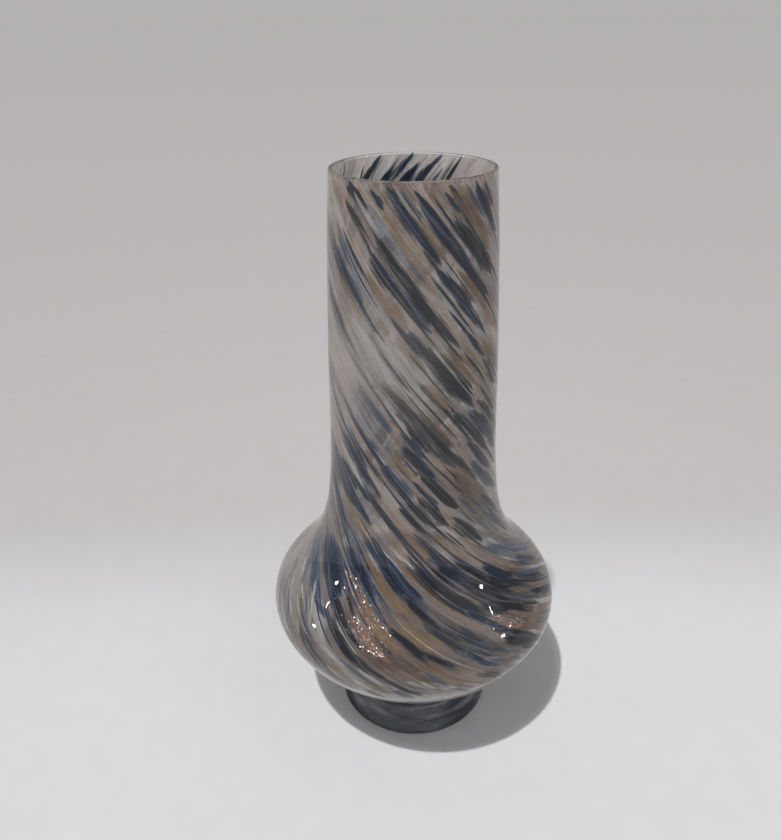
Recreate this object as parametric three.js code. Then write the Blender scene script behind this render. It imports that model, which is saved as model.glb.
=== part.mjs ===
// A hand blown glass vase: a clear inner gather, chips of coloured glass drawn into twisted
// streaks, a clear casing over them, and a dark foot. Millimetres, +Z up, origin at the centre
// of the foot's underside, the front towards -Y.
import * as THREE from "three";

const HEIGHT = 300;
const FOOT_RADIUS = 42;
const FOOT_TOP = 18;
const GAP = 0.3; // between two fused pieces
const COLOUR_SPACE = 1.8; // between casing and inner gather, where the colour lies
const STREAK_THICKNESS = 0.6;
const LIP_RADIUS = 1.6; // of the flame polished edge
const SOLID_EDGE = 3.8; // of casing alone, above the colour and the inner gather
const STREAK_BLUNTNESS = 0.7; // 1 is a long point at both ends, near 0 a square end
const TWIST = THREE.MathUtils.degToRad(1.12); // turn of the colour for each mm along the wall
const FRONT = -Math.PI / 2; // the angle of -Y
const AROUND = 36; // facets round a turned piece

const GLASS = {
  clear: new THREE.MeshStandardMaterial({ color: 0xd9dfdc, roughness: 0.05, metalness: 0 }),
  foot: new THREE.MeshStandardMaterial({ color: 0x3a4350, roughness: 0.06, metalness: 0 }),
  navy: new THREE.MeshStandardMaterial({ color: 0x262c42, roughness: 0.12, metalness: 0 }),
  charcoal: new THREE.MeshStandardMaterial({ color: 0x2b2b2f, roughness: 0.12, metalness: 0 }),
  steel: new THREE.MeshStandardMaterial({ color: 0x4d647f, roughness: 0.12, metalness: 0 }),
  amber: new THREE.MeshStandardMaterial({ color: 0x8c6c4b, roughness: 0.12, metalness: 0 }),
  opal: new THREE.MeshStandardMaterial({ color: 0xb4b9ae, roughness: 0.2, metalness: 0 }),
  aventurine: new THREE.MeshStandardMaterial({ color: 0xa8623f, roughness: 0.3, metalness: 0.6 }),
};

// The outer face of the wall, from the middle of its underside up to the edge: radius, height.
const OUTLINE = new THREE.CatmullRomCurve3(
  [
    [0, 8],
    [18, 9],
    [36, 17.5],
    [48.7, 33],
    [67.6, 52],
    [76.6, 67],
    [76, 81],
    [64.8, 94],
    [54, 106],
    [46.4, 124],
    [42.3, 152],
    [40.4, 215],
    [38.4, 270],
    [36.6, HEIGHT],
  ].map(([radius, height]) => new THREE.Vector3(radius, height, 0)),
);
OUTLINE.arcLengthDivisions = 800;
const WALL_LENGTH = OUTLINE.getLength();

// Shares of the outline at which the turned pieces have a point: close on the bulb, wide apart
// on the flat bottom and on the neck.
function steps(from, to, count) {
  return Array.from({ length: count }, (_, i) => from + ((to - from) * i) / count);
}
const SHARES = [...steps(0, 0.1, 3), ...steps(0.1, 0.56, 20), ...steps(0.56, 1, 5), 1];

// The casing is thick under the bulb and thin at the edge.
function casingThickness(height) {
  const low = THREE.MathUtils.clamp(1 - height / 150, 0, 1);
  return 1.1 + 2.1 * low;
}

// The inner gather is a little thicker under the bulb too.
function innerThickness(height) {
  const low = THREE.MathUtils.clamp(1 - height / 120, 0, 1);
  return 1.1 + 1.4 * low;
}

// A point at a share of the outline, moved by `depth` into the wall: x is radius, y is height.
function wallPoint(share, depth) {
  const point = OUTLINE.getPointAt(share);
  const along = OUTLINE.getTangentAt(share);
  const onAxis = share === 0;
  const radius = onAxis ? 0 : point.x - along.y * depth;
  const height = onAxis ? point.y + depth : point.y + along.x * depth;
  return new THREE.Vector2(Math.max(radius, 0), height);
}

function named(name, geometry, material) {
  const mesh = new THREE.Mesh(geometry, material);
  mesh.name = name;
  return mesh;
}

function turned(name, outline, material) {
  const geometry = new THREE.LatheGeometry(outline, AROUND);
  geometry.rotateX(Math.PI / 2);
  return named(name, geometry, material);
}

// Points of one face of the wall, from the middle of the bottom up to `top` below the edge.
function wallFace(depthAt, top) {
  return SHARES.map((share) => Math.min(share, 1 - top / WALL_LENGTH)).map((share) =>
    wallPoint(share, depthAt(OUTLINE.getPointAt(share).y)),
  );
}

function gatherDepth(height) {
  return casingThickness(height) + COLOUR_SPACE;
}

function boreDepth(height) {
  return gatherDepth(height) + innerThickness(height);
}

// The clear overlay, with the rounded edge that closes over the colour and the inner gather.
function outerCasing() {
  const outside = wallFace(() => 0, LIP_RADIUS);
  const inside = wallFace(casingThickness, SOLID_EDGE).reverse();
  const start = outside.at(-1);
  const bore = start.x - boreDepth(HEIGHT);
  const middle = (start.x + bore) / 2;
  const edge = [];
  const edgeSteps = 6;
  for (let i = 1; i <= edgeSteps; i++) {
    const turn = (Math.PI * i) / edgeSteps;
    edge.push(
      new THREE.Vector2(
        middle + (start.x - middle) * Math.cos(turn),
        start.y + (HEIGHT - start.y) * Math.sin(turn),
      ),
    );
  }
  edge.push(new THREE.Vector2(bore, inside[0].y));
  return turned("outer_casing", [...outside, ...edge, ...inside], GLASS.clear);
}

// The first gather, blown open: it ends just under the casing's edge.
function innerGather() {
  const below = SOLID_EDGE + GAP;
  const outside = wallFace(gatherDepth, below);
  const inside = wallFace(boreDepth, below).reverse();
  return turned("inner_gather", [...outside, ...inside], GLASS.clear);
}

// The foot: ground flat below with a ground hollow in the middle, dished on top to carry the bulb.
function foot() {
  const hollow = [
    [0, 1.3],
    [8, 1],
    [13, 0],
  ];
  const side = [
    [FOOT_RADIUS - 1.6, 0],
    [FOOT_RADIUS, 1.4],
    [FOOT_RADIUS - 0.8, 4],
    [FOOT_RADIUS - 2.6, 9],
    [FOOT_RADIUS - 3.6, 14],
    [FOOT_RADIUS - 4, FOOT_TOP],
  ];
  const dish = SHARES.map((share) => wallPoint(share, -GAP)).filter((point) => point.y < FOOT_TOP);
  const outline = [...hollow, ...side].map(([radius, height]) => new THREE.Vector2(radius, height));
  return turned("foot", [...outline, ...dish.reverse()], GLASS.foot);
}

// One chip of coloured glass, drawn out to a pointed streak that winds round in the colour space.
// `lay` is the angle from the front, in degrees, at which the streak's line would meet the edge;
// it runs from `from` to `to` mm below the edge along the wall and is `width` mm wide.
function streak(name, [lay, from, to, width], material) {
  const stations = 8;
  const section = [
    [-1, 0],
    [-0.5, 0.8],
    [0.5, 0.8],
    [1, 0],
    [0.5, -0.8],
    [-0.5, -0.8],
  ];
  const points = [];
  const ring = (i) => {
    const part = i / stations;
    const below = from + (to - from) * part;
    const share = 1 - below / WALL_LENGTH;
    const height = OUTLINE.getPointAt(share).y;
    const swell = Math.pow(Math.sin(Math.PI * part), STREAK_BLUNTNESS);
    const middle = THREE.MathUtils.degToRad(lay) + FRONT + TWIST * below;
    for (const [side, rise] of i % stations ? section : [[0, 0]]) {
      const depth = casingThickness(height) + COLOUR_SPACE / 2 - (rise * swell * STREAK_THICKNESS) / 2;
      const at = wallPoint(share, depth);
      const angle = middle + (side * swell * width) / 2 / at.x;
      points.push(at.x * Math.cos(angle), at.x * Math.sin(angle), at.y);
    }
  };
  for (let i = 0; i <= stations; i++) ring(i);
  const size = section.length;
  const faces = [];
  for (let j = 0; j < size; j++) {
    const next = (j + 1) % size;
    const last = points.length / 3 - 1;
    faces.push(0, 1 + j, 1 + next);
    for (let i = 0; i < stations - 2; i++) {
      const a = 1 + i * size;
      const b = a + size;
      faces.push(a + j, b + j, b + next, a + j, b + next, a + next);
    }
    faces.push(last, last - size + next, last - size + j);
  }
  const geometry = new THREE.BufferGeometry();
  geometry.setAttribute("position", new THREE.Float32BufferAttribute(points, 3));
  geometry.setIndex(faces);
  geometry.computeVertexNormals();
  return named(name, geometry, material);
}

// The larger chips: lay, from, to, width. The last rows of each colour lie on the back.
const STREAKS = {
  navy: [
    [-21, 5, 31, 4.5],
    [-5, 5, 50, 5],
    [39, 5, 23, 5],
    [-61, 29, 60, 6],
    [-25, 35, 67, 5],
    [-75, 103, 130, 7],
    [-186, 117, 142, 3.5],
    [-214, 129, 159, 7],
    [-138, 118, 131, 6],
    [-222, 167, 202, 5],
    [-244, 177, 201, 7],
    [-262, 177, 196, 6],
    [-274, 181, 205, 6],
    [150, 10, 60, 8],
    [102, 15, 62, 7],
    [60, 80, 130, 8],
    [2, 132, 185, 8],
    [-58, 165, 205, 8],
  ],
  charcoal: [
    [11, 17, 40, 6.5],
    [-50, 20, 69, 6],
    [-72, 63, 100, 9],
    [-117, 87, 130, 9.5],
    [-87, 101, 127, 5],
    [-64, 100, 127, 5],
    [-194, 144, 191, 2.8],
    [-158, 143, 159, 4],
    [-143, 132, 150, 5],
    [-150, 157, 173, 6],
    [-200, 176, 206, 4.5],
    [-183, 162, 198, 5],
    [-175, 188, 214, 7],
    [-189, 201, 218, 10],
    [-269, 197, 218, 4],
    [-224, 204, 223, 9],
    [200, 20, 70, 8],
    [110, 75, 122, 8],
    [35, 130, 180, 8],
    [-22, 180, 215, 9],
  ],
  steel: [
    [-95, 29, 50, 6],
    [-140, 89, 108, 5],
    [-164, 128, 142, 6],
    [-104, 131, 152, 7],
    [-290, 184, 206, 8],
    [178, 60, 110, 6],
    [-95, 178, 214, 9],
  ],
  amber: [
    [-12, 39, 56, 6],
    [22, 6, 30, 7],
    [-57, 69, 90, 6],
    [-27, 69, 90, 7],
    [-121, 131, 158, 6],
    [-237, 202, 220, 8],
    [-231, 181, 199, 5],
    [80, 100, 150, 7],
  ],
  opal: [
    [-197, 122, 140, 5],
  ],
  aventurine: [
    [-253, 187, 212, 5],
    [-261, 204, 222, 7],
    [-200, 208, 222, 7],
  ],
};

function buildVase() {
  const vase = new THREE.Group();
  vase.name = "art_glass_vase";
  vase.add(foot(), innerGather(), outerCasing());
  for (const [colour, chips] of Object.entries(STREAKS)) {
    chips.forEach((chip, i) => {
      const number = String(i + 1).padStart(2, "0");
      vase.add(streak(`${colour}_streak_${number}`, chip, GLASS[colour]));
    });
  }
  return vase;
}

export default buildVase();
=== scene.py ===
"""The finished look of the blown glass vase: one thick clear wall with the coloured chips inside
it, the copper glitter, the dark foot partly in painted shade, a pale floor with painted shade away from
the vase, and soft studio light. Metres, +Z up."""

import math

import bpy
import numpy as np
from mathutils import Matrix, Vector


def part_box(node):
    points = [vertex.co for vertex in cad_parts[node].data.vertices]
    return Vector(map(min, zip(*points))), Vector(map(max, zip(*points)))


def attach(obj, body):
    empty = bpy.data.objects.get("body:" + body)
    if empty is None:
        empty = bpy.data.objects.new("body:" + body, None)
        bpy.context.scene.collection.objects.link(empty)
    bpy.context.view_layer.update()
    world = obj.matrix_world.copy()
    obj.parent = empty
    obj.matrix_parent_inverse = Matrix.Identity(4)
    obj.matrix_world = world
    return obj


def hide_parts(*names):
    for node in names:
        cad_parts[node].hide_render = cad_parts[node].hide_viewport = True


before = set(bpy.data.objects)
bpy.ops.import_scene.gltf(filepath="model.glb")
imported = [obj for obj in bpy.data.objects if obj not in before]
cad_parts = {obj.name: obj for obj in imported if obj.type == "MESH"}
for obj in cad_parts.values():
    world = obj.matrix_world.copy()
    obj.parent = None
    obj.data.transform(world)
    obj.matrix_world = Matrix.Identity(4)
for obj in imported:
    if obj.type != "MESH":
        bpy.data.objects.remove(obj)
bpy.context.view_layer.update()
rng = np.random.default_rng(20)

MM = 0.001
COLOUR_SPACE = 1.8 * MM  # between the casing and the inner gather
TWIST = math.radians(1.12) / MM  # turn of the colour for each metre along the wall
VASE_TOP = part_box("outer_casing")[1][2]
DRAWN_OUT_OVER = 14 * MM  # under the edge, where the wall gets thinner
LIP = 0.9 * MM  # height of the rounded edge


# --- the wall's outline ---------------------------------------------------------------------

# Radius and height in millimetres of the wall's outer face, from the middle of its underside.
OUTLINE = [
    (0, 8), (18, 9), (36, 17.5), (48.7, 33), (67.6, 52), (76.6, 67), (76, 81), (65.5, 94.2),
    (55.2, 105), (46.4, 124), (42.3, 152), (40.4, 215), (38.4, 270), (36.6, 300),
]


def smooth_curve(knots, steps=60):
    """A centripetal Catmull-Rom curve through the knots, as a dense row of points."""
    p = np.array(knots, float)
    p = np.vstack([2 * p[0] - p[1], p, 2 * p[-1] - p[-2]])
    rows = []
    for a, b, c, d in zip(p, p[1:], p[2:], p[3:]):
        t0 = 0.0
        t1 = t0 + np.linalg.norm(b - a) ** 0.5
        t2 = t1 + np.linalg.norm(c - b) ** 0.5
        t3 = t2 + np.linalg.norm(d - c) ** 0.5
        t = np.linspace(t1, t2, steps, endpoint=False)[:, None]
        ab = (t1 - t) / (t1 - t0) * a + (t - t0) / (t1 - t0) * b
        bc = (t2 - t) / (t2 - t1) * b + (t - t1) / (t2 - t1) * c
        cd = (t3 - t) / (t3 - t2) * c + (t - t2) / (t3 - t2) * d
        abc = (t2 - t) / (t2 - t0) * ab + (t - t0) / (t2 - t0) * bc
        bcd = (t3 - t) / (t3 - t1) * bc + (t - t1) / (t3 - t1) * cd
        rows.append((t2 - t) / (t2 - t1) * abc + (t - t1) / (t2 - t1) * bcd)
    rows.append(p[-2][None])
    return np.vstack(rows)


def distance_along(curve):
    """The distance of each point of a curve from its start."""
    steps = np.linalg.norm(np.diff(curve, axis=0), axis=1)
    return np.concatenate([[0], np.cumsum(steps)])


def rounded_off(curve, reach):
    """The curve in even steps, its bends rounded off over `reach` metres, its two ends kept."""
    step = 0.5 * MM
    length = distance_along(curve)
    even = np.linspace(0, length[-1], int(length[-1] / step))
    rows = np.column_stack([np.interp(even, length, column) for column in curve.T])
    count = int(3 * reach / step)
    before = 2 * rows[0] - rows[count:0:-1]
    after = 2 * rows[-1] - rows[-2 : -count - 2 : -1]
    weight = np.exp(-0.5 * (np.arange(-count, count + 1) * step / reach) ** 2)
    weight = weight / weight.sum()
    padded = np.vstack([before, rows, after])
    return np.column_stack([np.convolve(column, weight, "valid") for column in padded.T])


def into_the_wall(curve):
    """The direction at right angles to each point of the outline, into the glass."""
    along = np.gradient(curve, axis=0)
    along /= np.linalg.norm(along, axis=1)[:, None]
    return np.column_stack([-along[:, 1], along[:, 0]])


WALL = rounded_off(smooth_curve(OUTLINE) * MM, 6 * MM)
WALL_IN = into_the_wall(WALL)
WALL_LENGTH = distance_along(WALL)[-1]
BELOW = WALL_LENGTH - distance_along(WALL)  # distance under the edge along the wall


def casing_thickness(height):
    """Clear glass over the colour: thick under the bulb, thin at the edge."""
    return (1.1 + 2.1 * np.clip(1 - height / 0.150, 0, 1)) * MM


def drawn_out(height):
    """Share of the wall's full thickness that is left in the last centimetre under the edge."""
    return 1 - 0.52 * np.clip((height - VASE_TOP + DRAWN_OUT_OVER) / DRAWN_OUT_OVER, 0, 1)


def wall_thickness(height):
    inner = (1.1 + 1.4 * np.clip(1 - height / 0.120, 0, 1)) * MM
    return (casing_thickness(height) + COLOUR_SPACE + inner) * drawn_out(height)


def colour_depth(height, share):
    """Depth in the wall of the colour: `share` is 0 next to the casing, 1 next to the gather."""
    return (casing_thickness(height) + share * COLOUR_SPACE) * drawn_out(height)


def on_wall(below, depth=0.0):
    """Radius and height of a point `below` the edge along the wall and `depth` into it."""

    def at(column):
        return np.interp(below, BELOW[::-1], column[::-1])

    radius = at(WALL[:, 0]) + at(WALL_IN[:, 0]) * depth
    height = at(WALL[:, 1]) + at(WALL_IN[:, 1]) * depth
    return np.maximum(radius, 0.0), height


def below_edge(height):
    """Distance under the edge of the outer face's point at this height."""
    return np.interp(height, WALL[:, 1], BELOW)


def unevenness(angle, height):
    """How much a hand blown wall leaves the true round, in metres."""
    slow = np.sin(2 * angle + 0.6 + 9 * height) * 0.25 + np.sin(3 * angle - 14 * height) * 0.12
    return slow * MM * np.clip(height / 0.04, 0, 1)


# --- the colour -------------------------------------------------------------------------------

SLOTS = {
    "navy": "navy_glass",
    "charcoal": "charcoal_glass",
    "steel": "steel_blue_glass",
    "amber": "amber_glass",
    "opal": "opal_glass",
    "aventurine": "copper_aventurine",
}

# Smaller chips on the front of the neck. Each row is its lay, where it starts and ends below the
# edge, and its width, in millimetres. The lay is the angle from the front, in degrees, at which
# the streak's line would meet the edge.
NECK_STREAKS = {
    "navy": [
        [14, 4, 14, 2.5], [-33, 3, 12, 2.5], [-38, 64, 80, 3], [-132, 108, 124, 5], [-78, 55, 75, 2.5],
        [-200, 137, 149, 4], [-206, 130, 147, 3], [-2, 36, 52, 2.2], [-152, 134, 149, 3],
        [-228, 120, 150, 4], [-238, 140, 170, 5], [-128, 160, 192, 5],
    ],
    "charcoal": [
        [-60, 8, 28, 4], [47, 3, 15, 4], [-40, 79, 98, 4], [-56, 90, 111, 2], [-168, 143, 162, 3.4],
        [-177, 148, 164, 3.4], [-52, 3, 9, 3], [-25, 26, 36, 2], [-49, 73, 93, 1.6],
        [-197, 168, 187, 2.2], [-112, 118, 142, 4], [-96, 118, 140, 6], [-118, 150, 182, 4],
        [-20, 1, 12, 4], [20, 1, 18, 3], [-48, 1, 14, 4],
    ],
    "steel": [
        [-86, 22, 38, 3], [-165, 98, 125, 5], [-134, 145, 162, 3], [-40, 24, 42, 2.5],
        [-250, 130, 160, 6], [-90, 150, 178, 6], [-276, 150, 182, 5], [-110, 160, 188, 5],
        [-12, 1, 16, 2], [32, 1, 20, 2.5], [-215, 118, 150, 5], [-262, 140, 172, 5],
        [-236, 160, 190, 5], [-140, 120, 150, 5], [-128, 140, 172, 5], [-100, 170, 196, 5],
    ],
    "amber": [
        [-34, 11, 20, 4], [-84, 61, 81, 4.5], [-105, 104, 121, 4], [-189, 157, 179, 4],
        [-169, 163, 183, 7], [-201, 161, 183, 6], [-177, 119, 141, 4], [-152, 119, 134, 7],
        [-15, 10, 35, 3], [-38, 18, 50, 8], [-75, 36, 62, 7], [-89, 85, 100, 7], [28, 2, 16, 7],
        [-12, 55, 70, 6], [-225, 150, 172, 8], [-68, 1, 14, 5], [4, 1, 12, 5],
    ],
    "opal": [
        [-16, 2, 18, 2], [-9, 6, 24, 1.6], [-129, 94, 113, 3.5], [-75, 99, 104, 4], [-164, 119, 128, 3],
        [-48, 5, 24, 2.5], [-110, 58, 90, 8], [-95, 62, 88, 7], [-120, 36, 58, 5],
    ],
}

# Smaller chips on the bulb, where the twist is not even. Each row is the angle from the front at
# its two ends, where it starts and ends, and its width.
LEANING_STREAKS = {
    "navy": [
        [-88, -51, 187, 212, 12], [-66, -45, 199, 216, 7], [-66, -42, 176, 204, 11],
        [-46, -34, 176, 189, 5], [-17, 5, 176, 199, 6], [8, 28, 175, 192, 5], [42, 60, 185, 204, 6],
        [33, 58, 216, 240, 6], [24, 42, 203, 224, 5.5], [62, 82, 214, 231, 5], [48, 62, 232, 246, 5],
        [70, 88, 196, 216, 7], [8, 32, 206, 228, 3.5], [-47, -24, 209, 230, 6], [18, 34, 221, 239, 4],
    ],
    "charcoal": [
        [-43, -24, 192, 217, 4], [-44, -18, 212, 234, 8], [18, 50, 182, 213, 8], [30, 52, 190, 212, 7],
        [38, 58, 196, 218, 6], [58, 82, 198, 223, 5], [-12, 4, 208, 225, 6.5], [-8, 12, 192, 212, 5],
        [12, 30, 214, 230, 4], [22, 46, 178, 197, 4], [44, 66, 205, 226, 4], [-30, -10, 222, 238, 6],
        [0, 16, 216, 232, 7], [-26, -8, 204, 224, 6], [-14, 2, 234, 247, 5], [20, 36, 234, 248, 5],
        [-55, -40, 226, 242, 5], [36, 52, 222, 238, 6],
    ],
    "steel": [
        [-92, -72, 207, 218, 3], [-74, -54, 216, 242, 4], [-88, -62, 218, 231, 4],
        [-62, -49, 209, 225, 2], [-34, -12, 228, 243, 5], [-20, -2, 175, 194, 1.4],
        [-3, 9, 174, 184, 1.8], [55, 92, 184, 208, 5], [66, 96, 190, 212, 4], [26, 46, 228, 249, 6],
        [2, 12, 229, 242, 3], [50, 80, 178, 198, 4], [-60, -40, 186, 206, 3], [-84, -66, 190, 214, 5],
        [-96, -80, 186, 206, 5], [60, 88, 200, 222, 4], [40, 70, 176, 192, 5], [10, 26, 240, 256, 3],
        [-48, -30, 236, 250, 4],
    ],
    "amber": [
        [-28, -6, 183, 204, 4.5], [-14, 4, 174, 190, 5], [4, 19, 174, 187, 4], [2, 22, 188, 204, 6],
        [44, 60, 212, 229, 4], [52, 68, 204, 219, 4.5], [-10, 14, 202, 222, 9], [14, 30, 229, 244, 5],
        [-30, -8, 197, 222, 9], [-34, -22, 176, 188, 4], [8, 26, 222, 236, 5], [-8, 10, 228, 244, 6],
    ],
    "opal": [
        [-68, -47, 184, 209, 1.8], [-63, -49, 199, 222, 1.3], [-82, -58, 210, 229, 1.6],
        [-68, -46, 215, 230, 1.6], [-86, -50, 199, 222, 3], [49, 61, 228, 241, 4],
        [61, 80, 220, 238, 4.5], [68, 96, 202, 229, 3.5], [-95, -60, 224, 240, 4],
        [60, 95, 176, 194, 3],
    ],
}

# Chips on the inner side of the wall at the back of the mouth, given in the same way.
MOUTH_STREAKS = {
    "navy": [
        [172, 208, 4, 32, 6], [155, 201, 0, 34, 4.2], [178, 220, 0, 24, 6], [137, 174, 0, 34, 1.8],
        [202, 232, 0, 20, 4], [175, 226, 0, 30, 2.4],
    ],
    "charcoal": [
        [177, 229, 0, 30, 1.4], [237, 249, 0, 14, 0.9], [218, 231, 4, 24, 1],
    ],
    "steel": [
        [153, 180, 6, 28, 2.6], [185, 225, 0, 26, 1.8], [165, 189, 0, 18, 1.6], [145, 167, 3, 24, 1.2],
        [198, 230, 0, 24, 1.6],
    ],
    "amber": [
        [149, 193, 0, 32, 1.8], [142, 168, 0, 24, 2.4], [127, 147, 2, 22, 2],
    ],
    "opal": [
        [193, 231, 1, 30, 4.4], [169, 217, 0, 32, 2.6], [161, 205, 0, 32, 1.4], [139, 177, 0, 30, 2.4],
        [123, 161, 1, 30, 3.6], [223, 249, 0, 30, 5], [214, 234, 0, 28, 1.6], [181, 227, 4, 30, 1.4],
        [110, 134, 1, 28, 4], [236, 258, 0, 28, 3],
    ],
}

# Fine chips all round, broad ones low on the bulb, and how they are shared among the colours.
SCATTERED = 300
SCATTER_SHARE = {"navy": 0.40, "charcoal": 0.16, "steel": 0.16, "amber": 0.22, "opal": 0.06}
UNDER_CHIPS = 110
UNDER_SHARE = {"amber": 0.25, "opal": 0.45, "steel": 0.15, "navy": 0.15}
FLAKES = 480  # copper crystals in each aventurine streak

# --- meshes -----------------------------------------------------------------------------------


def mesh_piece(name, points, faces, material, smooth=True):
    mesh = bpy.data.meshes.new(name)
    mesh.from_pydata([tuple(p) for p in points], [], [tuple(f) for f in faces])
    mesh.materials.append(material)
    if smooth:
        mesh.polygons.foreach_set("use_smooth", [True] * len(mesh.polygons))
    mesh.update()
    piece = bpy.data.objects.new(name, mesh)
    bpy.context.scene.collection.objects.link(piece)
    return piece


def strip_faces(rows, sides, closed=True):
    """The quads between rows of points, with `sides` points in each row."""
    faces = []
    for i in range(rows - 1):
        a, b = i * sides, (i + 1) * sides
        for j in range(sides if closed else sides - 1):
            k = (j + 1) % sides
            faces.append((b + j, b + k, a + k, a + j))
    return faces


def round_points(radius, turn, z):
    """The points at these radii, angles and heights."""
    x = radius * np.cos(turn)
    y = radius * np.sin(turn)
    return np.column_stack([x.ravel(), y.ravel(), np.broadcast_to(z, x.shape).ravel()])


def store(piece, name, values):
    """Three numbers for each point of a piece, for its material to read."""
    data = piece.data.attributes.new(name, "FLOAT_VECTOR", "POINT")
    data.data.foreach_set("vector", np.ascontiguousarray(values).ravel())


def turned(name, outline, around, material, uneven=False):
    """A body of revolution from an outline of (radius, height) that starts and ends on the axis."""
    outline = np.array(outline)
    turn = np.linspace(0, 2 * np.pi, around, endpoint=False)
    inner = outline[1:-1]
    radius = inner[:, :1] + (unevenness(turn[None], inner[:, 1:]) if uneven else 0)
    points = round_points(radius, turn, inner[:, 1:])
    first = len(points)
    last_row = first - around
    points = np.vstack([points, [0, 0, outline[0][1]], [0, 0, outline[-1][1]]])
    faces = []
    for j in range(around):
        k = (j + 1) % around
        faces.append((first, k, j))
        faces.append((first + 1, last_row + j, last_row + k))
    faces += [face[::-1] for face in strip_faces(len(inner), around)]
    return mesh_piece(name, points, faces, material)


def helix_attribute(piece, angle, below):
    """Where each point lies in the twisted glass: round the vase less the twist, and along it."""
    a = np.asarray(angle) - TWIST * np.asarray(below)
    store(piece, "helix", np.column_stack([np.cos(a), np.sin(a), np.asarray(below)]))


# --- materials --------------------------------------------------------------------------------


class Nodes:
    """A material's node tree, with short calls to add and link nodes."""

    def __init__(self, name):
        self.material = bpy.data.materials.new(name)
        self.material.use_nodes = True
        self.tree = self.material.node_tree
        self.tree.nodes.clear()

    def add(self, kind, inputs=None, **settings):
        node = self.tree.nodes.new(kind)
        for key, value in settings.items():
            setattr(node, key, value)
        for key, value in (inputs or {}).items():
            if isinstance(value, bpy.types.NodeSocket):
                self.tree.links.new(value, node.inputs[key])
            else:
                node.inputs[key].default_value = value
        return node

    def math(self, operation, *values, clamp=False):
        inputs = dict(enumerate(values))
        return self.add("ShaderNodeMath", inputs, operation=operation, use_clamp=clamp).outputs[0]

    def vector(self, operation, *values):
        inputs = dict(enumerate(values))
        return self.add("ShaderNodeVectorMath", inputs, operation=operation).outputs[0]

    def noise(self, place, detail, scale=1.0):
        inputs = {"Vector": place, "Scale": scale, "Detail": detail}
        return self.add("ShaderNodeTexNoise", inputs).outputs["Fac"]

    def stored(self, name):
        return self.add("ShaderNodeAttribute", attribute_name=name).outputs["Vector"]

    def split(self, vector):
        node = self.add("ShaderNodeSeparateXYZ", {0: vector})
        return node.outputs["X"], node.outputs["Y"], node.outputs["Z"]

    def about_zero(self, value, strength):
        """A value from 0 to 1 made to swing about zero, by this much."""
        return self.math("MULTIPLY", self.math("SUBTRACT", value, 0.5), strength)

    def ramp(self, factor, stops, interpolation="LINEAR"):
        node = self.add("ShaderNodeValToRGB", {"Fac": factor})
        ramp = node.color_ramp
        ramp.interpolation = interpolation
        while len(ramp.elements) < len(stops):
            ramp.elements.new(0.5)
        for element, (position, colour) in zip(ramp.elements, stops):
            element.position = position
            element.color = (*colour, 1)
        return node.outputs["Color"]

    def mix(self, factor, first, second, blend_type="MIX"):
        """Two colours mixed: such a node takes them at its inputs 6 and 7 and gives output 2."""
        node = self.add("ShaderNodeMix", data_type="RGBA", blend_type=blend_type)
        for index, value in ((0, factor), (6, first), (7, second)):
            if isinstance(value, bpy.types.NodeSocket):
                self.tree.links.new(value, node.inputs[index])
            elif index:
                node.inputs[index].default_value = (*value, 1)
            else:
                node.inputs[index].default_value = value
        return node.outputs[2]

    def blend(self, factor, first, second):
        inputs = {0: factor, 1: first.outputs[0], 2: second.outputs[0]}
        return self.add("ShaderNodeMixShader", inputs)

    def surface(self, shader):
        out = self.add("ShaderNodeOutputMaterial")
        self.tree.links.new(shader.outputs[0], out.inputs["Surface"])
        return self.material


def glass_material(name, colour, roughness, shade, edge_shade, low_shade):
    """Real glass for the eye. A light's shadow ray passes it: `shade` is left of it straight
    through, and only `edge_shade` at a glancing angle, where real glass bends the light away.
    The thick glass under the bulb leaves `low_shade` of that."""
    n = Nodes(name)
    place = n.add("ShaderNodeTexCoord").outputs["Object"]
    ripple = {"Strength": 0.02, "Distance": 0.002, "Height": n.noise(place, 1.0, 45.0)}
    glass = n.add(
        "ShaderNodeBsdfPrincipled",
        {
            "Base Color": (*colour, 1),
            "Roughness": roughness,
            "IOR": 1.5,
            "Transmission Weight": 1.0,
            "Normal": n.add("ShaderNodeBump", ripple).outputs["Normal"],
        },
    )
    glance = n.add("ShaderNodeLayerWeight", {"Blend": 0.5}).outputs["Facing"]
    entering = n.ramp(glance, [(0.33, shade), (0.45, edge_shade)])
    leaving = n.ramp(glance, [(0.68, shade), (0.80, edge_shade)])
    inside = n.add("ShaderNodeNewGeometry").outputs["Backfacing"]
    left = n.mix(inside, entering, leaving)
    _, _, height = n.split(place)
    low = (low_shade, low_shade, low_shade)
    high = n.ramp(n.math("MULTIPLY", height, 10.0), [(0.55, low), (0.72, (1, 1, 1))])
    left = n.mix(1.0, left, high, "MULTIPLY")
    clear = n.add("ShaderNodeBsdfTransparent", {"Color": left})
    path = n.add("ShaderNodeLightPath")
    return n.surface(n.blend(path.outputs["Is Shadow Ray"], glass, clear))


def body_of_colour(n, colour, alpha, through):
    """Coloured glass seen inside clear glass: it scatters light, and its edge fades. `through` is
    the share of the light that it scatters onward."""
    near = n.add("ShaderNodeBsdfDiffuse", {"Color": colour})
    far = n.add("ShaderNodeBsdfTranslucent", {"Color": colour})
    clear = n.add("ShaderNodeBsdfTransparent")
    return n.surface(n.blend(alpha, clear, n.blend(through, near, far)))


def helix_place(n, around, along):
    """The twisted glass as a place: `around` cells round the vase, one cell each `along` metres."""
    reach = around / (2 * math.pi)
    return n.vector("MULTIPLY", n.stored("helix"), (reach, reach, 1 / along))


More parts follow.
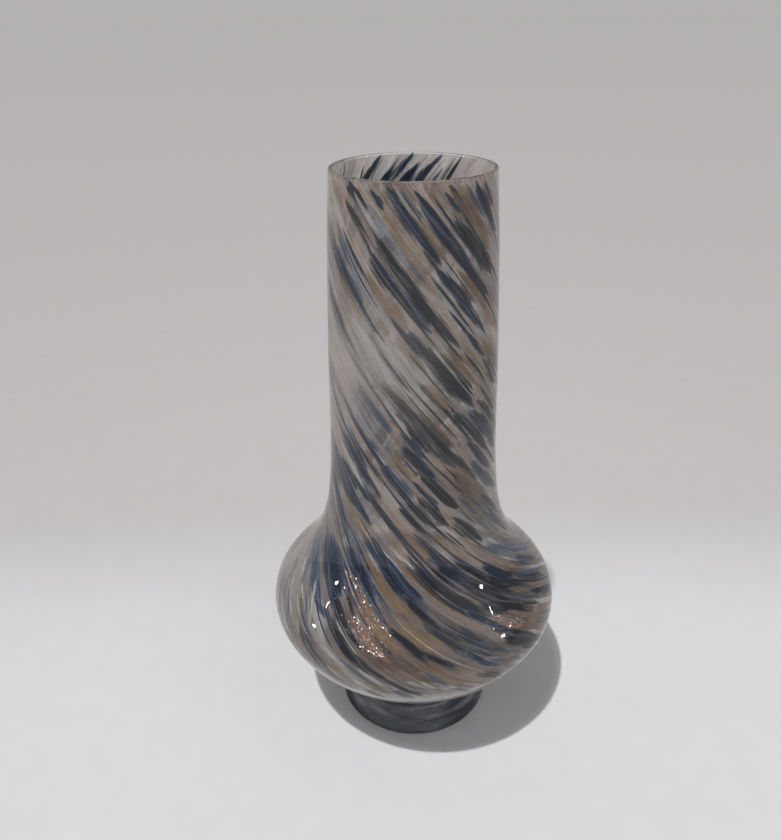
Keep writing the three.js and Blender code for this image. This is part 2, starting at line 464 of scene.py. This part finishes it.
def streak_material(name, thin, thick, alpha, through=0.45, firmness=1.2):
    """One colour of chip, drawn into fine lines: pale where it is thin, deep where it is thick."""
    n = Nodes(name)
    fine = n.noise(helix_place(n, 260, 0.045), 2.0)
    broad = n.noise(helix_place(n, 90, 0.016), 2.0)
    across, along, _ = n.split(n.stored("across"))
    beside = n.math("POWER", n.math("ABSOLUTE", across), 2.0)
    from_middle = n.math("SUBTRACT", n.math("MULTIPLY", along, 2.0), 1.0)
    ends = n.math("POWER", n.math("ABSOLUTE", from_middle), 4.0)
    body = n.math("SUBTRACT", n.math("SUBTRACT", 0.85, beside), n.math("MULTIPLY", ends, 0.8))
    rough = n.math("ADD", n.about_zero(fine, 1.5), n.about_zero(broad, 2.3))
    depth = n.math("ADD", body, rough)
    colour = n.ramp(depth, [(0.1, thin), (0.7, thick)])
    cover = n.math("MULTIPLY", n.math("MULTIPLY", depth, firmness, clamp=True), alpha)
    return body_of_colour(n, colour, cover, through)


def veil_material():
    """The thin colour between the large chips: small pale and tan chips drawn out by the twist."""
    n = Nodes("colour_veil")
    wander = n.add(
        "ShaderNodeTexNoise", {"Vector": helix_place(n, 16, 0.03), "Scale": 1.0, "Detail": 2.0}
    )
    shift = n.vector("MULTIPLY", wander.outputs["Color"], (1.2, 1.2, 0.3))

    def cells(around, along, softness):
        place = n.vector("ADD", helix_place(n, around, along), shift)
        inputs = {"Vector": place, "Scale": 1.0, "Smoothness": softness}
        node = n.add("ShaderNodeTexVoronoi", inputs, feature="SMOOTH_F1")
        return n.add("ShaderNodeSeparateColor", {0: node.outputs["Color"]})

    large = cells(30, 0.034, 0.25)
    small = cells(75, 0.024, 0.3)
    palette = [
        (0.0, (0.50, 0.40, 0.31)),
        (0.2, (0.60, 0.57, 0.54)),
        (0.36, (0.48, 0.33, 0.22)),
        (0.5, (0.55, 0.44, 0.40)),
        (0.62, (0.38, 0.26, 0.16)),
        (0.74, (0.58, 0.58, 0.58)),
        (0.84, (0.22, 0.26, 0.34)),
        (0.94, (0.08, 0.10, 0.16)),
    ]
    colour = n.mix(0.5, n.ramp(large.outputs[0], palette), n.ramp(small.outputs[1], palette))
    fine = n.noise(helix_place(n, 300, 0.05), 2.0)
    shade = n.ramp(fine, [(0.3, (0.72, 0.72, 0.74)), (0.7, (1.14, 1.14, 1.14))])
    colour = n.mix(1.0, colour, shade, "MULTIPLY")
    cover, deep, milky = n.split(n.stored("cover"))
    # Milky tone; under the bulb it also carries the painted light band of the clear lip.
    colour = n.mix(n.math("MULTIPLY", milky, 0.75), colour, (0.65, 0.635, 0.62))
    # Painted light and shade: the colour lifted on the neck and darkened on the bulb; the bulb's dark
    # is partly thicker colour, partly painted shade of its dark inside.
    depth = n.ramp(deep, [(0.0, (1.28, 1.26, 1.25)), (1.0, (0.55, 0.50, 0.48))])
    colour = n.mix(1.0, colour, depth, "MULTIPLY")
    patchy = n.math("MULTIPLY", small.outputs[2], 0.9)
    loose = n.math("ADD", patchy, n.math("MULTIPLY", fine, 0.5))
    alpha = n.math("MULTIPLY", n.math("ADD", 0.45, loose), cover, clamp=True)
    return body_of_colour(n, colour, alpha, 0.5)


def wisp_material():
    """The foot's colour: dark, with paler blue wisps that run round it; partly the foot's own colour,
    partly painted shade from the bulb above and a painted reflection of the bulb's colours.
    """
    n = Nodes("foot_wisps_and_shade")
    drawn = n.noise(helix_place(n, 7, 0.006), 3.0)
    colour_and_painted_shade = [(0.38, (0.11, 0.11, 0.12)), (0.52, (0.34, 0.36, 0.41)), (0.65, (0.86, 0.90, 0.96))]
    return body_of_colour(n, n.ramp(drawn, colour_and_painted_shade), 0.92, 0.4)


def aventurine_material():
    """Copper crystals in glass: each flake a small bright mirror."""
    n = Nodes("copper_aventurine")
    place = n.add("ShaderNodeTexCoord").outputs["Object"]
    hue = n.noise(place, 2.0, 900.0)
    colour = n.ramp(hue, [(0.35, (0.86, 0.60, 0.48)), (0.65, (0.98, 0.88, 0.82))])
    metal = {"Base Color": colour, "Metallic": 1.0, "Roughness": 0.2}
    return n.surface(n.add("ShaderNodeBsdfPrincipled", metal))


def floor_material():
    """Pale matt board with painted shade: darker far from the vase and towards the back, as if less
    light fell there.
    """
    n = Nodes("pale_floor")
    place = n.add("ShaderNodeTexCoord").outputs["Object"]
    grain = n.noise(place, 4.0, 60.0)
    board = n.ramp(grain, [(0.3, (0.757, 0.757, 0.767)), (0.7, (0.777, 0.777, 0.787))])
    away = n.add("ShaderNodeVectorMath", {0: place}, operation="LENGTH").outputs["Value"]
    # Painted shade: the board darker the farther it lies from the vase.
    reach = n.math("DIVIDE", n.math("SUBTRACT", away, 0.2), away, clamp=True)
    falls = [(0.0, 1.0), (0.5, 0.955), (0.93, 0.86), (1.0, 0.811)]
    far = n.ramp(reach, [(position, (grey, grey, grey)) for position, grey in falls])
    # Painted shade: darker again towards the back, behind the vase.
    _, behind, _ = n.split(place)
    back = [(0.1, (1, 1, 1)), (0.9, (0.80, 0.765, 0.755))]
    painted_floor_shade = n.mix(1.0, far, n.ramp(n.math("MULTIPLY", behind, 4.5), back, "EASE"), "MULTIPLY")
    matt = {"Base Color": n.mix(1.0, board, painted_floor_shade, "MULTIPLY"), "Roughness": 0.7}
    return n.surface(n.add("ShaderNodeBsdfPrincipled", matt))


# --- the vase ---------------------------------------------------------------------------------


def wall_profile(depth_of, first, last, count):
    """Points of one face of the wall from `first` to `last` metres under the edge."""
    below = np.linspace(first, last, count)
    _, height = on_wall(below)
    radius, height = on_wall(below, depth_of(height))
    return np.column_stack([radius, height])


def make_wall(material):
    """Casing and inner gather, fused: one thick wall with a flame polished edge."""
    outside = wall_profile(np.zeros_like, WALL_LENGTH, LIP, 190)
    inside = wall_profile(wall_thickness, LIP, WALL_LENGTH, 170)
    outside[0][0] = 0
    inside[-1][0] = 0
    middle = (outside[-1] + inside[0]) / 2
    half = (outside[-1][0] - inside[0][0]) / 2
    turn = np.linspace(0, np.pi, 12)[1:-1]
    rise = VASE_TOP - outside[-1][1]
    edge = np.column_stack([middle[0] + half * np.cos(turn), outside[-1][1] + rise * np.sin(turn)])
    outline = np.vstack([outside, edge, inside])
    wall = turned("glass_wall", outline, 240, material, uneven=True)
    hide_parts("outer_casing", "inner_gather")
    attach(wall, "root")


def make_foot(material):
    """The dark foot with a softly rounded edge, ground flat below round a shallow hollow."""
    _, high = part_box("foot")
    radius, top = high[0], high[2]
    hollow = np.array([(0, 1.3), (8, 1.0), (13, 0.0)]) * MM
    knots = [(40.2, 0), (41.6, 0.5), (42, 1.6), (41.4, 4), (40.2, 7), (39.2, 11), (38.5, 15), (38, 18)]
    knots = np.array(knots) * MM
    side = smooth_curve(knots, 6) * [radius, top] / knots.max(axis=0)
    sunk = 0.1 * MM  # into the wall, as the two are fused
    below = np.linspace(below_edge(top), WALL_LENGTH, 30)
    dish = np.column_stack(on_wall(below, sunk))
    dish[-1][0] = 0
    foot = turned("glass_foot", np.vstack([hollow, side, dish[1:]]), 160, material)
    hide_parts("foot")
    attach(foot, "root")


def make_foot_wisps(material):
    """Wisps drawn round in the foot's glass: a thin wavy disc of colour inside it, which also carries
    painted shade.
    """
    around, count = 96, 24
    turn = np.linspace(0, 2 * np.pi, around, endpoint=False)
    reach = np.linspace(0.5 * MM, 38 * MM, count)[:, None]
    height = 4.5 * MM + 0.8 * MM * np.sin(3 * turn + reach / MM * 0.3)
    faces = strip_faces(count, around)
    wisps = mesh_piece("foot_wisps_and_shade", round_points(reach, turn, height), faces, material)
    store(wisps, "helix", round_points(np.ones_like(reach), turn, reach))
    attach(wisps, "root")


def patch(turn, below, at_turn, at_below, wide, tall):
    """1 at a place on the wall, falling smoothly to 0 round it: degrees from the front, millimetres."""
    away = (np.degrees(turn) + 90 - at_turn + 180) % 360 - 180
    return np.exp(-((away / wide) ** 2) - ((below / MM - at_below) / tall) ** 2)


def veil_cover(turn, below):
    """How closely the small chips lie, how deep their colour is, and how milky: denser and deeper
    on the bulb, partly thicker colour and partly painted shade, milky half way down the neck and at the
    back of the mouth, clear underneath."""
    mm = below / MM + 0 * turn
    # Painted shade: deeper, darker colour over the bulb, less again low down on it.
    low = np.clip((mm - 150) / 50, 0, 1) - 0.6 * np.clip((mm - 228) / 12, 0, 1)
    under = np.clip((mm - 243) / 8, 0, 1)
    milky = patch(turn, below, -35, 78, 40, 20) + 0.8 * patch(turn, below, -70, 100, 20, 30)
    milky += 0.9 * patch(turn, below, 180, 0, 75, 18)
    side = patch(turn, below, -75, 215, 24, 25) + 0.6 * patch(turn, below, 75, 175, 22, 14)
    cover = 0.60 + 0.12 * low + 0.15 * milky - 0.25 * side
    return cover * (1 - under), low, np.minimum(milky + side + under, 1)


def haze_and_lip_light_cover(turn, below):
    """A thin milky film right under the casing: over the left of the neck and of the bulb, and a
    painted light band in the thick clear lip under the bulb, for the light that lip carries."""
    film = 0.45 * patch(turn, below, -35, 78, 40, 22) + 0.3 * patch(turn, below, -70, 100, 22, 34)
    film += 0.2 * patch(turn, below, -78, 215, 20, 24) + 0.35 * patch(turn, below, -94, 215, 12, 30)
    # Painted light: a pale band along the thick clear lip under the bulb.
    film += 1.3 * np.exp(-(((below / MM - 257) / 6) ** 2))
    return film, np.zeros_like(film), np.ones_like(film)


def make_veil(name, share, cover_at, material):
    """A sheet of small chips inside the wall, at a share of the way through the colour."""
    around, count = 220, 200
    below = np.linspace(0.8 * MM, WALL_LENGTH - 6 * MM, count)
    _, height = on_wall(below)
    turn = np.linspace(0, 2 * np.pi, around, endpoint=False)
    radius, z = on_wall(below, colour_depth(height, share))
    radius = radius[:, None] + unevenness(turn[None], z[:, None])
    points = round_points(radius, turn, z[:, None])
    veil = mesh_piece(name, points, strip_faces(count, around), material)
    helix_attribute(veil, np.tile(turn, count), np.repeat(below, around))
    store(veil, "cover", np.stack(cover_at(turn[None], below[:, None]), -1))
    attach(veil, "root")


def waver(part, draw, strength):
    """A smooth random wander along a streak, about zero."""
    wander = 0
    for k in (2, 3, 5):
        wander = wander + draw.normal(0, 1) * np.sin(np.pi * k * part + draw.uniform(0, 2 * np.pi)) / k
    return strength * wander


def ribbon(angle, turn, below, length, width, share, thick, draw):
    """Points and faces of a chip drawn out to a streak that winds round by `turn` on its way down.

    It has a blunt upper end and a long thin lower one. A `thick` streak is a closed lens across;
    with no thickness it is one sheet. Also returned: where each point lies round, along and
    across it."""
    stations = max(10, int(length / (1.3 * MM)))  # steps along it
    part = np.linspace(0, 1, stations + 1)
    swell = np.sin(np.pi * part**0.9) ** 0.45 * (1 + waver(part, draw, 0.14))
    swell[[0, -1]] = 0.02
    at = below + length * part
    if thick:
        round_it = np.linspace(0, 2 * np.pi, 8, endpoint=False)
        across, rise = np.cos(round_it), np.sin(round_it)
    else:
        across = np.linspace(-1, 1, 5)
        rise = np.zeros(5)
    sides = len(across)
    _, outer_height = on_wall(at)
    middle = angle + turn * part
    depth = colour_depth(outer_height, share)[:, None] - rise * thick / 2 * swell[:, None]
    radius, z = on_wall(np.repeat(at[:, None], sides, 1), depth)
    sway = waver(part, draw, 0.09 * width)
    a = middle[:, None] + (across * swell[:, None] * width / 2 + sway[:, None]) / radius
    radius = radius + unevenness(a, z)
    points = round_points(radius, a, z)
    faces = strip_faces(stations + 1, sides, closed=bool(thick))
    if thick:
        faces.append(tuple(range(sides)))
        faces.append(tuple(stations * sides + j for j in reversed(range(sides))))
    lies = np.column_stack(
        [a.ravel(), np.repeat(at, sides), np.tile(across, stations + 1), np.repeat(part, sides)]
    )
    return points, faces, lies


def streak_piece(name, ribbons, material):
    """One piece from a row of ribbons, with what its material needs to know at each point."""
    points, faces, lies, first = [], [], [], 0
    for p, f, where in ribbons:
        points.append(p)
        faces += [tuple(first + k for k in face) for face in f]
        lies.append(where)
        first += len(p)
    lies = np.vstack(lies)
    piece = mesh_piece(name, np.vstack(points), faces, material)
    helix_attribute(piece, lies[:, 0], lies[:, 1])
    store(piece, "across", np.column_stack([lies[:, 2:], np.zeros(len(lies))]))
    return piece


def chip_of(node):
    """Where a CAD streak lies: angle and distance below the edge of its upper tip, length, width."""
    points = np.array([v.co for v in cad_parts[node].data.vertices])
    angle = np.arctan2(points[:, 1], points[:, 0])
    top, bottom = points[:, 2].argmax(), points[:, 2].argmin()
    below = below_edge(points[:, 2])
    turned_back = angle - angle[top] - TWIST * (below - below[top])
    turned_back = (turned_back + np.pi) % (2 * np.pi) - np.pi
    radius = np.hypot(points[:, 0], points[:, 1])
    width = 2 * np.abs(turned_back * radius).max()
    return angle[top], below[top], below[bottom] - below[top], width


def flake(centre, normal, size, draw):
    """The twelve points of one thin six sided copper crystal that faces along `normal`."""
    side = np.cross(normal, draw.normal(0, 1, 3))
    side /= np.linalg.norm(side)
    up = np.cross(normal, side)
    radius = draw.uniform(*size)
    rim = [side * math.cos(t) + up * math.sin(t) for t in np.arange(6) * math.pi / 3]
    half = normal * 0.02 * MM
    return [centre + r * radius + half for r in rim] + [centre + r * radius - half for r in rim]


def make_flakes(name, angle, below, length, width, material, draw):
    """Loose copper crystals through a streak, each tilted its own way about one common tilt."""
    points, faces = [], []
    for _ in range(FLAKES):
        part = draw.uniform(0.05, 0.95)
        swell = math.sin(math.pi * part) ** 0.7
        at = below + length * part
        _, height = on_wall(at)
        radius, z = on_wall(at, colour_depth(height, draw.uniform(0.1, 0.5)))
        a = angle + TWIST * length * part + draw.normal(0, 0.28) * swell * width / radius
        normal = np.array([0.8 * math.cos(a), 0.8 * math.sin(a) - 0.2, 1.25])
        normal += draw.normal(0, 0.36, 3)
        normal /= np.linalg.norm(normal)
        centre = np.array([radius * math.cos(a), radius * math.sin(a), float(z)])
        first = len(points)
        points += flake(centre, normal, (0.10 * MM, 0.23 * MM), draw)
        faces.append(tuple(first + k for k in range(6)))
        faces.append(tuple(first + 11 - k for k in range(6)))
        for k in range(6):
            after = (k + 1) % 6
            faces.append((first + k, first + 6 + k, first + 6 + after, first + after))
    return mesh_piece(name, points, faces, material, smooth=False)


def cad_streaks():
    return sorted(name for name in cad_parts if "_streak_" in name)


def make_streaks(materials):
    """One ribbon for each CAD streak, at the same place, with glitter round the copper ones."""
    early = 2 * MM  # it starts this much above the CAD's tip,
    longer = 5 * MM  # and is this much longer, as its ends fade out
    wider = 1.5
    for node in cad_streaks():
        colour, _, number = node.split("_")
        angle, below, length, width = chip_of(node)
        long = length + longer
        start, first = below - early, angle - TWIST * early
        shape = ribbon(first, TWIST * long, start, long, width * wider, 0.5, 0.5 * MM, rng)
        piece = streak_piece("glass_" + node, [shape], materials[colour])
        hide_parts(node)
        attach(piece, "root")
        if colour == "aventurine":
            name = "glitter_" + number
            flakes = make_flakes(name, angle, below, length, width * 3, materials["flake"], rng)
            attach(flakes, "root")


def scattered_rows(draw, rows, twist):
    """Adds fine chips all round and broad short ones low on the bulb."""
    for _ in range(SCATTERED):
        colour = draw.choice(list(SCATTER_SHARE), p=list(SCATTER_SHARE.values()))
        angle, start, length = draw.uniform(0, 360), draw.uniform(1, 230), draw.uniform(16, 55)
        end = min(start + length, 246)
        last = angle + twist * (end - start)
        rows[colour].append([angle, last, start, end, draw.uniform(0.7, 2.2)])
    for _ in range(UNDER_CHIPS):
        colour = draw.choice(list(UNDER_SHARE), p=list(UNDER_SHARE.values()))
        angle, start, length = draw.uniform(0, 360), draw.uniform(231, 246), draw.uniform(5, 10)
        last = angle + draw.uniform(0.5, 1.4) * length
        rows[colour].append([angle, last, start, start + length, draw.uniform(4, 8)])


def torn_rows(draw, rows, twist):
    """Adds four thin chips at the sides of each large streak, as if torn off it."""
    for node in cad_streaks():
        angle, below, length, width = chip_of(node)
        for side in (-1, -1, 1, 1):
            start = below / MM + draw.uniform(-6, 6)
            long = length / MM * draw.uniform(0.5, 1.0)
            beside = side * draw.uniform(0.4, 0.9) * width / on_wall(below + length / 2)[0]
            first = math.degrees(angle + beside) + 90
            row = [first, first + twist * long, max(start, 1), start + long, draw.uniform(0.5, 1.2)]
            rows[node.split("_")[0]].append(row)


def make_small_streaks(materials):
    """The smaller chips, one piece for each colour. Those inside the mouth lie on the wall's inner
    side, in front of the veil."""
    draw = np.random.default_rng(7)
    twist = TWIST * math.degrees(1) * MM  # degrees for each millimetre
    rows = {colour: list(LEANING_STREAKS.get(colour, [])) for colour in SLOTS}
    for colour, chips in NECK_STREAKS.items():
        for lay, start, end, width in chips:
            rows[colour].append([lay + twist * start, lay + twist * end, start, end, width])
    scattered_rows(draw, rows, twist)
    torn_rows(draw, rows, twist)
    for colour, outer in rows.items():
        shapes = []
        for i, (first, last, start, end, width) in enumerate(outer + MOUTH_STREAKS.get(colour, [])):
            share = draw.uniform(0.1, 0.7) if i < len(outer) else draw.uniform(0.9, 1.1)
            angle, turn = math.radians(first - 90), math.radians(last - first)
            length = (end - start) * MM
            shapes.append(ribbon(angle, turn, start * MM, length, width * 1.5 * MM, share, 0, draw))
        piece = streak_piece("small_" + colour + "_streaks", shapes, materials[colour])
        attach(piece, "root")


# --- the studio -------------------------------------------------------------------------------


def make_floor():
    around, radius, under = 96, 40.0, 0.1 * MM
    turn = np.linspace(0, 2 * np.pi, around, endpoint=False)
    points = round_points(np.full(around, radius), turn, -under)
    floor = mesh_piece("floor", points, [tuple(range(around))], floor_material(), smooth=False)


# Far lamps that show as bright points on the bulb: azimuth, elevation, strength, width.
LAMPS = {
    "left_upper": (-85.6, 26.9, 0.006, 0.7),
    "left_lower": (-83.4, 14.7, 0.09, 3.6),
    "right_upper": (73.3, 30.3, 0.006, 0.7),
    "right_lower": (69.1, 16.2, 0.11, 4.0),
}


def sun(name, azimuth, elevation, strength, width):
    """A far lamp: degrees right of the front, degrees up, irradiance, and its width in degrees."""
    data = bpy.data.lights.new(name, "SUN")
    data.energy = strength
    data.angle = math.radians(width)
    lamp = bpy.data.objects.new(name, data)
    lamp.rotation_euler = (math.radians(90 - elevation), 0, math.radians(azimuth))
    bpy.context.scene.collection.objects.link(lamp)


def make_light():
    """Soft light from all round, one lamp overhead on the left, a broad weak one on the right and
    the far lamps. The eye sees a plain backdrop in the tone of the floor's far end."""
    world = bpy.data.worlds.new("studio")
    bpy.context.scene.world = world
    world.use_nodes = True
    tree = world.node_tree
    sky = tree.nodes["Background"]
    sky.inputs["Color"].default_value = (0.98, 0.97, 1.0, 1)
    sky.inputs["Strength"].default_value = 0.262
    seen = tree.nodes.new("ShaderNodeBackground")
    seen.inputs["Color"].default_value = (0.4564, 0.4369, 0.4391, 1)
    path = tree.nodes.new("ShaderNodeLightPath")
    either = tree.nodes.new("ShaderNodeMixShader")
    tree.links.new(path.outputs["Is Camera Ray"], either.inputs[0])
    tree.links.new(sky.outputs[0], either.inputs[1])
    tree.links.new(seen.outputs[0], either.inputs[2])
    tree.links.new(either.outputs[0], tree.nodes["World Output"].inputs["Surface"])
    sun("overhead", -33.6, 68.6, 2.07, 1.6)
    sun("fill", 50.0, 35.0, 0.25, 60.0)
    for name, row in LAMPS.items():
        sun(name, *row)


def make_camera():
    """A camera a little above and in front of the vase, that looks down at it, slightly rolled."""
    data = bpy.data.cameras.new("camera")
    data.lens = 33.52
    data.sensor_width = 36
    data.clip_start = 0.01
    camera = bpy.data.objects.new("camera", data)
    camera.location = (-0.0113, -0.3476, 0.3588)
    camera.rotation_mode = "XYZ"
    pitch = Matrix.Rotation(math.radians(90 - 27.62), 4, "X")
    roll = Matrix.Rotation(math.radians(-0.97), 4, "Z")
    camera.rotation_euler = (pitch @ roll).to_euler("XYZ")
    bpy.context.scene.collection.objects.link(camera)
    bpy.context.scene.camera = camera


scene = bpy.context.scene
scene.view_settings.view_transform = "Standard"
scene.cycles.transparent_max_bounces = 40
make_camera()
make_light()
make_floor()
clear = glass_material(
    "clear_glass", (0.98, 0.985, 0.98), 0.01, (0.90, 0.90, 0.90), (0.15, 0.15, 0.15), 0.35
)
# The foot's grey-blue tint: partly its own, partly painted shade from the bulb above it.
dark = glass_material(
    "foot_glass", (0.81, 0.82, 0.85), 0.02, (0.7, 0.72, 0.75), (0.15, 0.15, 0.16), 1.0
)
make_wall(clear)
make_foot(dark)
make_foot_wisps(wisp_material())
veil = veil_material()
make_veil("colour_veil", 0.75, veil_cover, veil)
make_veil("milky_film_and_lip_light", 0.04, haze_and_lip_light_cover, veil)
COLOURS = {
    "navy": streak_material("navy_glass", (0.14, 0.19, 0.31), (0.025, 0.033, 0.056), 0.95, 0.3, 2),
    "charcoal": streak_material(
        "charcoal_glass", (0.19, 0.19, 0.20), (0.028, 0.030, 0.040), 0.94, 0.3, 2
    ),
    "steel": streak_material("steel_blue_glass", (0.32, 0.39, 0.50), (0.10, 0.15, 0.24), 0.75),
    "amber": streak_material("amber_glass", (0.52, 0.40, 0.30), (0.40, 0.28, 0.18), 0.65),
    "opal": streak_material("opal_glass", (0.62, 0.63, 0.61), (0.80, 0.80, 0.77), 0.72),
    "aventurine": streak_material("aventurine_glass", (0.50, 0.34, 0.27), (0.42, 0.26, 0.19), 0.55),
    "flake": aventurine_material(),
}
make_streaks(COLOURS)
make_small_streaks(COLOURS)
